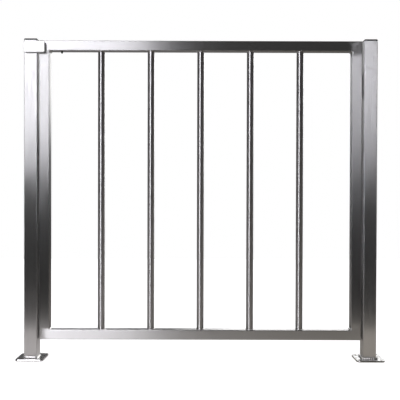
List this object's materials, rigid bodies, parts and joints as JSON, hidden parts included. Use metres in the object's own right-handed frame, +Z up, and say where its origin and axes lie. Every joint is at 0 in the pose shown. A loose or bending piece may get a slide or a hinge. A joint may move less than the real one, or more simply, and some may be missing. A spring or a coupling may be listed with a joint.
{
  "type": "access gate",
  "caption": "Waist-high swing gate of satin stainless tube: a barred leaf hinged between square posts on bolt-down floor plates, with a stop block on the latch post.",
  "frame": {"origin": "middle of the underside of the hinge post's floor plate, on the floor", "axes": "+X along the gate towards the hinge post's outer side (to the right seen from the front), +Y from the front to the back, +Z up"},
  "size_m": [1.104, 0.084, 0.965],
  "materials": {
    "post_steel": "satin, grain along the tube",
    "stile_steel": "satin, grain along the tube",
    "rail_steel": "satin, grain along the tube",
    "bar_steel": "satin, grain along the tube",
    "plate_steel": "polished satin",
    "weld_steel": "bright rippled weld",
    "stop_steel": "satin",
    "hinge_steel": "turned and polished",
    "washer_brass": "plain",
    "black_plastic": "moulded"
  },
  "bodies": {
    "posts": {"hinge_post": "post_steel", "latch_post": "post_steel", "hinge_base_plate": "plate_steel", "latch_base_plate": "plate_steel", "hinge_foot_weld": "weld_steel", "latch_foot_weld": "weld_steel", "hinge_post_cap": "black_plastic", "latch_post_cap": "black_plastic", "stop_block": "stop_steel", "lower_post_knuckle": "hinge_steel", "upper_post_knuckle": "hinge_steel", "lower_hinge_pin": "hinge_steel", "upper_hinge_pin": "hinge_steel", "lower_hinge_washer": "washer_brass", "upper_hinge_washer": "washer_brass"},
    "leaf": {"top_rail": "rail_steel", "bottom_rail": "rail_steel", "latch_stile": "stile_steel", "hinge_stile": "stile_steel", "bar_1": "bar_steel", "bar_2": "bar_steel", "bar_3": "bar_steel", "bar_4": "bar_steel", "bar_5": "bar_steel", "lower_leaf_knuckle": "hinge_steel", "upper_leaf_knuckle": "hinge_steel", "vent_plug": "black_plastic"}
  },
  "joints": [
    {"name": "leaf_swing", "type": "hinge", "parent": "posts", "child": "leaf", "pos_m": [-0.027, 0.03, 0.51], "axis": [0, 0, -1], "range_deg": [0, 180]}
  ]
}
